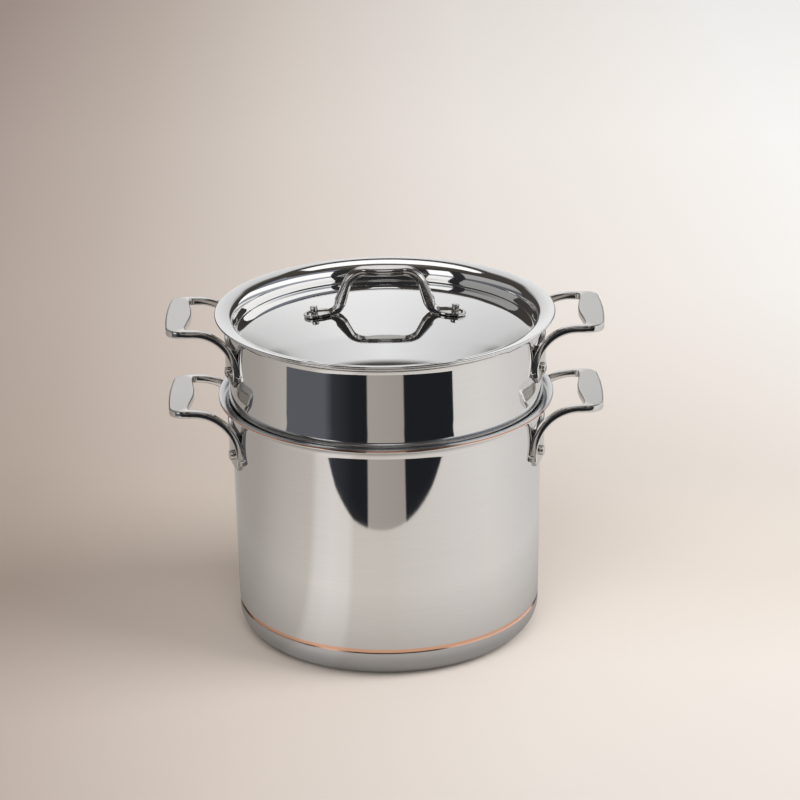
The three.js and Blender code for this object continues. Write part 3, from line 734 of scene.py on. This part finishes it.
halfTurn = np.diag([-1.0, -1.0, 1.0])
for vesselName, vessel in vessels.items():
    (loopPoints, loopFaces), loopGround = handleLoop(vessel)
    footPoints, footFaces = handleFoot(vessel)
    points, faces = joinSets([(loopPoints, loopFaces), (footPoints, footFaces)])
    ground = np.concatenate([loopGround, np.zeros(len(footPoints))])
    radius = vessel["wall"](vessel["rivetHeight"])
    inner = radius - vessel["thickness"] - rivet["innerGap"]
    outer = radius + handle["seatGap"] + handle["footThickness"] + rivet["headGap"]
    away = math.asin(rivet["spread"] / radius)
    pinPoints, pinFaces = rivetSet(outer - inner, rivet["head"], rivet["headHeight"])
    for side, turn in (("right", np.eye(3)), ("left", halfTurn)):
        node = f"{vesselName}_handle_{side}"
        makePiece(f"{node}_casting", points @ turn, faces, castSteel, vesselName, [node],
                  castSharp, ground)
        for place, sign in (("front", -1), ("rear", 1)):
            angle = sign * away if side == "right" else math.pi - sign * away
            shift = (inner * math.cos(angle), inner * math.sin(angle), vessel["rivetHeight"])
            node = f"{vesselName}_rivet_{side}_{place}"
            pin = placed(pinPoints, radialTurn(angle), shift)
            makePiece(f"{node}_pin", pin, pinFaces, castSteel, vesselName, [node], castSharp)
print("side handles cast and riveted")


# the lid's handle in mm: half of its path from the middle of the bar, as lengths and turns, and its section
lidHandle = {
    "barTop": 33.0, "barHalf": 13.6, "barThickness": 5.8, "barMiddleWidth": 12.6, "barWidth": 9.6,
    "bend": 14.0, "legTurn": 70.0, "legThickness": 6.2, "legFootThickness": 8.4, "footBend": 7.5,
    "footWidth": 11.0, "footWiden": (8.0, 4.0), "footThin": (3.0, 9.0), "footEase": 6.0,
    "tabStart": 38.5, "tabEnd": 58.0, "tabWidth": 16.0, "tabWiden": (37.0, 46.0), "tabThickness": 2.2,
    "tipThin": 0.4, "tipLeast": 0.0004, "scoop": 1.6, "scoopRim": 1.6, "scoopClimb": 15.0,
    "edge": 2.8, "tabEdge": 0.8, "edgeMost": 0.46, "seatGap": 0.3, "step": 0.3, "sharp": 45,
    "rivetReach": 50.0, "rivetHead": 2.65, "rivetHeight": 6.4, "rivetGap": 0.15,
}


# Path of the handle: heading is straight along the bar, turns down the leg, turns back along the dome; x
# and z are the running sums of its cosine and sine. The leg's length brings the tab down on the dome.
def lidHandleLoft():
    down = math.radians(lidHandle["legTurn"])
    back = math.atan(lidHandle["tabStart"] / domeRadius)
    bend, footBend = lidHandle["bend"], lidHandle["footBend"]
    startZ = domeTop + lidHandle["barTop"] - lidHandle["barThickness"] / 2
    tabLift = lidHandle["seatGap"] + lidHandle["tabThickness"] / 2
    fall = bend * (1 - math.cos(down)) + footBend * (math.cos(back) - math.cos(down))
    leg = (startZ - fall - dome(lidHandle["tabStart"]) - tabLift) / math.sin(down)
    runs = [(lidHandle["barHalf"], 0.0, 0.0), (bend * down, 0.0, -down), (leg, -down, -down),
            (footBend * (down - back), -down, -back)]
    counts = [max(int(length / lidHandle["step"]), 2) for length, a, b in runs]
    heading = np.concatenate([a + (b - a) * (np.arange(n) + 0.5) / n
                              for n, (length, a, b) in zip(counts, runs)])
    pace = np.concatenate([np.full(n, length / n) for n, (length, a, b) in zip(counts, runs)])
    x = np.concatenate([[0], np.cumsum(np.cos(heading) * pace)])
    z = startZ + np.concatenate([[0], np.cumsum(np.sin(heading) * pace)])
    # the tab follows the dome to its tip
    tabRun = x[-1] + (lidHandle["tabEnd"] - x[-1]) * np.sin(np.linspace(0, np.pi / 2, 61))[1:]
    z = np.concatenate([z, dome(tabRun) + tabLift + (z[-1] - dome(x[-1]) - tabLift)])
    x = np.concatenate([x, tabRun])
    heading = np.arctan2(np.gradient(z), np.gradient(x))
    # widths and thicknesses along the path, by the distance run
    run = np.concatenate([[0], np.cumsum(np.hypot(np.diff(x), np.diff(z)))])
    legStart = lidHandle["barHalf"] + bend * down
    legEnd = legStart + leg
    before, after = lidHandle["footWiden"]
    thinFrom, thinTo = lidHandle["footThin"]
    ease = lidHandle["footEase"]
    swell = np.clip(1 - (run / lidHandle["barHalf"]) ** 2, 0, 1)
    width = lidHandle["barWidth"] + (lidHandle["barMiddleWidth"] - lidHandle["barWidth"]) * swell
    inFoot = smoothStep(run, legEnd - before, legEnd + after)
    width += (lidHandle["footWidth"] - lidHandle["barWidth"]) * inFoot
    width += (lidHandle["tabWidth"] - lidHandle["footWidth"]) * smoothStep(x, *lidHandle["tabWiden"])
    half = lidHandle["tabWidth"] / 2
    tip = np.clip((x - (lidHandle["tabEnd"] - half)) / half, 0, 1)
    width *= np.sqrt(np.maximum(1 - tip ** 2, lidHandle["tipLeast"]))
    thickness = np.interp(run, [0, lidHandle["barHalf"], legStart, legEnd - thinFrom, legEnd + thinTo],
                          [lidHandle["barThickness"], lidHandle["barThickness"], lidHandle["legThickness"],
                           lidHandle["legFootThickness"], lidHandle["tabThickness"]])
    edge = np.interp(run, [legEnd - ease, legEnd + ease], [lidHandle["edge"], lidHandle["tabEdge"]])
    thickness *= 1 - lidHandle["tipThin"] * tip ** 4
    # the left half is the mirror image
    x, heading = (np.concatenate([-a[:0:-1], a]) for a in (x, heading))
    z, width, thickness, edge = (np.concatenate([a[:0:-1], a]) for a in (z, width, thickness, edge))
    level = np.zeros(len(x))
    centre = np.column_stack([x, level, z])
    across = np.column_stack([level, -width / 2, level])
    up = np.column_stack([-np.sin(heading), level, np.cos(heading)])
    edge = np.minimum(edge, thickness * lidHandle["edgeMost"])
    points, facing = carriedSection(centre, across, up, thickness / 2, edge, np.linspace(0.9, -0.9, 13))
    # a spoon hollow from the foot of the leg along the tab, pressed in square to the path between two rims
    run = np.concatenate([run[:0:-1], run])
    rim, tabEnd = lidHandle["scoopRim"], lidHandle["tabEnd"]
    inTab = smoothStep(run, legEnd - lidHandle["scoopClimb"], legEnd + after)
    inTab *= 1 - smoothStep(np.abs(x), tabEnd - 2.4 * rim, tabEnd - rim)
    rows = len(x)
    columns = len(points) // rows
    inTab, wide = (np.repeat(a, columns) for a in (inTab, width / 2 - rim))
    share = np.abs(points[:, 1]) / np.maximum(wide, 0.1)
    hollow = lidHandle["scoop"] * inTab * (1 - smoothStep(share, 0.3, 1.0)) * (facing > 0.5)
    points -= np.repeat(up, columns, axis=0) * hollow[:, None]
    return cappedSweep(points, rows)


points, faces = lidHandleLoft()
makePiece("lid_handle_casting", points, faces, castSteel, "lid", ["lid_handle"],
          lidHandle["sharp"])
lidSlope = math.atan(lidHandle["rivetReach"] / domeRadius)
tabGrip = lidHandle["seatGap"] + lidHandle["tabThickness"] - lidHandle["scoop"] + lidHandle["rivetGap"]
lidGrip = lid["sheet"] + tabGrip
pinPoints, pinFaces = rivetSet(lidGrip, lidHandle["rivetHead"], lidHandle["rivetHeight"])
for side, sign in (("right", 1), ("left", -1)):
    c, s = math.cos(lidSlope), sign * math.sin(lidSlope)
    turn = np.array([[c, 0, s], [0, 1, 0], [-s, 0, c]])
    depth = lid["sheet"] + rivet["innerGap"]
    shift = (sign * lidHandle["rivetReach"] - depth * s, 0, dome(lidHandle["rivetReach"]) - depth * c)
    makePiece(f"lid_rivet_{side}_pin", placed(pinPoints, turn, shift), pinFaces, castSteel, "lid",
              [f"lid_rivet_{side}"], castSharp)
print("lid handle cast and riveted")


# the camera: place, pitch, yaw and roll of the photographed view, focal length for a 36 mm wide square frame
camera = {
    "place": (0.0, -1.98, 0.91827), "pitch": 0.36101, "yaw": 0.005064, "roll": -0.013384,
    "lens": 131.72, "sensor": 36.0, "clipEnd": 100.0,
}


# an object's matrix from its three axes and its place
def placeMatrix(right, up, back, place):
    axes = np.column_stack([right, up, back, np.array(place)])
    return Matrix(np.vstack([axes, [0, 0, 0, 1]]).tolist())


# the camera's axes: yaw about Z, pitch down from level, then roll about the line of sight
def makeCamera():
    yaw, pitch, roll = camera["yaw"], camera["pitch"], camera["roll"]
    right = np.array([math.cos(yaw), -math.sin(yaw), 0.0])
    level = np.array([math.sin(yaw), math.cos(yaw), 0.0])
    rise = np.array([0.0, 0.0, 1.0])
    ahead = math.cos(pitch) * level - math.sin(pitch) * rise
    up = math.sin(pitch) * level + math.cos(pitch) * rise
    turnedRight = math.cos(roll) * right + math.sin(roll) * up
    turnedUp = math.cos(roll) * up - math.sin(roll) * right
    lens = bpy.data.cameras.new("camera")
    lens.lens = camera["lens"]
    lens.sensor_width = camera["sensor"]
    lens.clip_end = camera["clipEnd"]
    holder = bpy.data.objects.new("camera", lens)
    holder.matrix_world = placeMatrix(turnedRight, turnedUp, -ahead, camera["place"])
    bpy.context.scene.collection.objects.link(holder)
    bpy.context.scene.camera = holder


makeCamera()


# The stage in metres. Tones are stops of a ramp: at shares of a length for the floor and the panels, and at
# degrees from straight ahead for what only reflections see.
stage = {
    # the paper floor: painted light falloff makes its tone climb from left to right, and painted shade and
    # light change it with the depth
    "floorHalf": 9.0, "floorFrom": -0.55, "floorTo": 0.45,
    "paintedFalloffTones": ((0.0, "#988a83"), (0.25, "#b4a8a0"), (0.45, "#cdc4bd"), (0.65, "#dbd5d0"),
                   (0.85, "#e2ddd9"), (1.0, "#e4e3e1")),
    # painted shade by depth: darker near and beside the pot, painted lighter to white far behind
    "depthFrom": -0.3, "depthTo": 2.0,
    "depthShadeTones": ((0.0, "#e6e4e2"), (0.09, "#ebe8e5"), (0.16, "#e5e0da"), (0.25, "#e6e2de"),
                   (0.46, "#f6f5f4"), (0.7, "#ffffff"), (1.0, "#ffffff")),
    # light that the polished wall throws back on the paper
    "bounceNear": 0.12, "bounceFar": 0.40, "bounce": 1.11,
    # the paper as the polish shows it: painted light by angle, brightest at the front left, with painted
    # contact shade near the foot of the pot
    "mirrorShare": 0.7, "mirrorNear": 0.10, "mirrorFar": 0.25,
    "mirrorLightTones": ((-180, "#b4b1ae"), (-130, "#a8a4a0"), (-95, "#b9b4af"), (-74, "#ccc7c2"),
                    (-51, "#d6d1cb"), (-46, "#f4efec"), (-36, "#fcf8f5"), (-25, "#f6f1ec"),
                    (-21, "#dfd9d3"),
                    (0, "#dad4cd"), (45, "#e5e0dd"), (68, "#eae5e1"), (105, "#dcdadb"), (180, "#b4b1ae")),
    "mirrorContactShade": ((0.0, "#808080"), (0.17, "#a6a6a6"), (0.33, "#cbcbcb"), (0.6, "#e7e7e7"),
                  (1.0, "#ffffff")),
    # the dark studio floor in front of the paper
    "darkLift": 0.0005,
    "darkEdge": ((-0.50, -0.172), (-0.46, -0.27), (-0.345, -0.395), (-0.302, -0.382), (-0.244, -0.364),
                 (-0.142, -0.352), (0.074, -0.369), (0.21, -0.384), (0.29, -0.40), (0.395, -0.39),
                 (2.9, -2.86), (0.0, -4.0), (-3.0, -2.9), (-3.0, -1.035)),
    "darkTones": ((-72, "#626369"), (-42, "#626369"), (-36, "#393a40"), (-22, "#242528"),
                  (-12.8, "#212226"), (-12.2, "#b2aaa3"), (11.2, "#aaa29b"), (11.8, "#222327"),
                  (46, "#222327")),
    # the room above: a pale backdrop behind, dark walls, a dim ceiling; heights of a unit direction
    "lowTones": ((-180, "#fcfcfd"), (-176, "#fefefe"), (-168, "#dedede"), (-165, "#4a4643"),
                 (-108, "#4a4643"), (-62, "#303033"), (122, "#303033"), (165, "#4a4643"),
                 (168, "#dddddd"), (180, "#fcfcfd")),
    "highTones": ((-180, "#fcfcfd"), (-169, "#e0e0e0"), (-167, "#4a4643"), (-60, "#333130"),
                  (60, "#333130"), (167, "#4a4643"), (169, "#dddddd"), (180, "#fcfcfd")),
    "lowToHigh": (0.49, 0.53), "ceilingEdge": (0.645, 0.665), "zenithEdge": (0.90, 1.0),
    "ceiling": "#4a4642", "zenith": "#6e6a66", "roomLight": "#fffefd", "roomStrength": 0.56,
    # light panels with dull bands; windows as angle from, angle to, top and strength
    "panelStrength": 1.35, "panelHeight": 3.0,
    "panelTones": ((0.0, "#fffefd"), (0.063, "#fffefd"), (0.075, "#7c7e87"), (0.172, "#9a9ca4"),
                   (0.21, "#fffefd"), (0.45, "#fffefd"), (0.50, "#6f737d"), (0.86, "#7f838c"),
                   (0.88, "#fffefd"), (1.0, "#fffefd")),
    "windows": {"left": (-56, -36, 1.5, 1.35), "left_dim": (-129, -67, 1.5, 0.45),
                "right": (43, 145, 2.6, 1.35)},
    "windowReach": 1.8, "windowColumns": 9,
    "topLight": ((-1.15, 1.5, 3.0), (0.6, 1.95, 3.0), (0.48, 2.8, 3.0), (-0.68, 2.76, 3.0)),
    "frontLight": ((-0.5, -2.6, 3.0), (0.5, -2.6, 3.0), (0.5, -1.4, 3.0), (-0.5, -1.4, 3.0)),
}


# a stage object from corner points, one polygon unless faces are given
def stageCard(name, corners, material, cameraSees, faces=None):
    mesh = bpy.data.meshes.new(name)
    mesh.from_pydata(corners, [], faces or [list(range(len(corners)))])
    mesh.materials.append(material)
    card = bpy.data.objects.new(name, mesh)
    bpy.context.scene.collection.objects.link(card)
    if not cameraSees:
        card.visible_camera = False
        card.visible_diffuse = False
        card.visible_shadow = False


# tones by the angle from straight ahead: the turn of x over minus y, as a share of the stops' range
def toneByAngle(tree, coordinates, tones):
    parts = addNode(tree, "SeparateXYZ", links={0: coordinates})
    ahead = addNode(tree, "Math", {"operation": "MULTIPLY", 1: -1.0}, {0: parts.outputs["Y"]})
    turn = addNode(tree, "Math", {"operation": "ARCTAN2"}, {0: parts.outputs["X"], 1: ahead})
    low, high = tones[0][0], tones[-1][0]
    limits = {"From Min": math.radians(low), "From Max": math.radians(high)}
    share = addNode(tree, "MapRange", limits, {"Value": turn})
    stops = [((angle - low) / (high - low), tone) for angle, tone in tones]
    return addNode(tree, "ValToRGB", {"stops": stops}, {"Fac": share})


# Paper sweep, matt: painted light falloff by x times painted shade by y, with painted light from the polished
# wall round the pot. Reflections see it partly as painted light by angle, dimmed as painted contact shade
# towards the middle.
def sweepPaper():
    material, tree = newMaterial("matt paper sweep")
    place = addNode(tree, "TexCoord").outputs["Object"]
    parts = addNode(tree, "SeparateXYZ", links={0: place})
    across = addNode(tree, "MapRange", {"From Min": stage["floorFrom"], "From Max": stage["floorTo"]},
                     {"Value": parts.outputs["X"]})
    away = addNode(tree, "MapRange", {"From Min": stage["depthFrom"], "From Max": stage["depthTo"]},
                   {"Value": parts.outputs["Y"]})
    # painted light falloff: the paper darker to the left, away from the light on the right
    falloffTone = addNode(tree, "ValToRGB", {"stops": stage["paintedFalloffTones"]}, {"Fac": across})
    # painted shade and light by depth, multiplied into the paper's tone below
    depthShade = addNode(tree, "ValToRGB", {"stops": stage["depthShadeTones"]}, {"Fac": away})
    paper = addNode(tree, "Mix", {"data_type": "RGBA", "blend_type": "MULTIPLY", "Factor": 1.0},
                    {"A": falloffTone, "B": depthShade})
    reach = addNode(tree, "VectorMath", {"operation": "LENGTH"}, {0: place})
    bounce = addNode(tree, "MapRange", {"From Min": stage["bounceNear"], "From Max": stage["bounceFar"],
                                        "To Min": stage["bounce"], "To Max": 1.0}, {"Value": reach})
    lit = addNode(tree, "VectorMath", {"operation": "SCALE"}, {0: paper, "Scale": bounce})
    matt = addNode(tree, "BsdfDiffuse", links={"Color": lit})
    near = addNode(tree, "MapRange", {"From Min": stage["mirrorNear"], "From Max": stage["mirrorFar"]},
                   {"Value": reach})
    # painted contact shade: the paper seen in the polish darker near the foot of the pot
    dim = addNode(tree, "ValToRGB", {"stops": stage["mirrorContactShade"]}, {"Fac": near})
    # painted light: the paper's tone in the polish by angle
    mirrorLight = toneByAngle(tree, place, stage["mirrorLightTones"])
    glow = addNode(tree, "Emission", links={"Color": mirrorLight, "Strength": dim})
    path = addNode(tree, "LightPath")
    part = addNode(tree, "Math", {"operation": "MULTIPLY", 1: stage["mirrorShare"]},
                   {0: path.outputs["Is Glossy Ray"]})
    mix = addNode(tree, "MixShader", links={0: part, 1: matt, 2: glow})
    addNode(tree, "OutputMaterial", links={"Surface": mix})
    return material


# the dark studio floor as a card of plain light, its tones by angle
def darkFloor():
    material, tree = newMaterial("dark studio floor")
    place = addNode(tree, "TexCoord").outputs["Object"]
    glow = addNode(tree, "Emission", links={"Color": toneByAngle(tree, place, stage["darkTones"])})
    addNode(tree, "OutputMaterial", links={"Surface": glow})
    return material


# a light panel: white, with dull bluish bands by its height
def lightPanel(name, strength):
    material, tree = newMaterial(name)
    place = addNode(tree, "TexCoord").outputs["Object"]
    parts = addNode(tree, "SeparateXYZ", links={0: place})
    climb = addNode(tree, "MapRange", {"From Max": stage["panelHeight"]}, {"Value": parts.outputs["Z"]})
    tone = addNode(tree, "ValToRGB", {"stops": stage["panelTones"]}, {"Fac": climb})
    glow = addNode(tree, "Emission", {"Strength": strength}, {"Color": tone})
    addNode(tree, "OutputMaterial", links={"Surface": glow})
    return material


half = stage["floorHalf"]
square = [(-half, -half, 0), (half, -half, 0), (half, half, 0), (-half, half, 0)]
stageCard("floor", square, sweepPaper(), True)
stageCard("dark_floor", [(x, y, stage["darkLift"]) for x, y in stage["darkEdge"]], darkFloor(), False)

# windows stand on the floor round the object: x and y by the angle from straight ahead at a set reach
columns = stage["windowColumns"]
for name, (fromAngle, toAngle, top, strength) in stage["windows"].items():
    turn = np.radians(np.linspace(fromAngle, toAngle, columns))
    ring = stage["windowReach"] * np.column_stack([np.sin(turn), -np.cos(turn), np.zeros(columns)])
    corners = np.vstack([ring, ring + (0, 0, top)]).tolist()
    panes = gridFaces(2, columns, wrap=False).tolist()
    stageCard(f"window_{name}", corners, lightPanel(f"window {name}", strength), False, panes)
panel = lightPanel("light panel", stage["panelStrength"])
stageCard("top_light", stage["topLight"], panel, False)
stageCard("front_light", stage["frontLight"], panel, False)


# the room: even soft light for the floor, and for reflections tones by direction under a dim ceiling
def studioRoom():
    world = bpy.data.worlds.new("studio")
    world.use_nodes = True
    tree = world.node_tree
    tree.nodes.clear()
    place = addNode(tree, "TexCoord").outputs["Generated"]
    height = addNode(tree, "SeparateXYZ", links={0: place}).outputs["Z"]
    shares = {}
    for edge in ("lowToHigh", "ceilingEdge", "zenithEdge"):
        low, high = stage[edge]
        shares[edge] = addNode(tree, "MapRange", {"From Min": low, "From Max": high}, {"Value": height})
    walls = addNode(tree, "Mix", {"data_type": "RGBA"}, {"Factor": shares["lowToHigh"],
                                                         "A": toneByAngle(tree, place, stage["lowTones"]),
                                                         "B": toneByAngle(tree, place, stage["highTones"])})
    ceiling, zenith = hexColour(stage["ceiling"]), hexColour(stage["zenith"])
    roof = addNode(tree, "Mix", {"data_type": "RGBA", "A": ceiling, "B": zenith},
                   {"Factor": shares["zenithEdge"]})
    shown = addNode(tree, "Mix", {"data_type": "RGBA"},
                    {"Factor": shares["ceilingEdge"], "A": walls, "B": roof})
    seen = addNode(tree, "Background", links={"Color": shown})
    even = addNode(tree, "Background", {"Color": hexColour(stage["roomLight"]),
                                        "Strength": stage["roomStrength"]})
    path = addNode(tree, "LightPath")
    mix = addNode(tree, "MixShader", links={0: path.outputs["Is Glossy Ray"], 1: even, 2: seen})
    addNode(tree, "OutputWorld", links={"Surface": mix})
    bpy.context.scene.world = world


studioRoom()

# soft boxes for the floor's light and shadows, aimed at the pot's foot: place, size, power
softBoxes = {
    "right": ((4.1, -0.9, 3.4), 3.2, 238.0),
    "front": ((-0.6, -3.2, 3.6), 3.4, 122.0),
}
for name, (place, size, power) in softBoxes.items():
    lamp = bpy.data.lights.new(name, "AREA")
    lamp.shape = "RECTANGLE"
    lamp.size, lamp.size_y = size, size
    lamp.energy = power
    holder = bpy.data.objects.new(f"soft_box_{name}", lamp)
    holder.visible_glossy = False
    bpy.context.scene.collection.objects.link(holder)
    back = np.array(place) / np.linalg.norm(place)
    side = np.cross((0, 0, 1), back)
    side = side / np.linalg.norm(side)
    holder.matrix_world = placeMatrix(side, np.cross(back, side), back, place)

bpy.context.scene.view_settings.view_transform = "Standard"
print("camera and stage set")
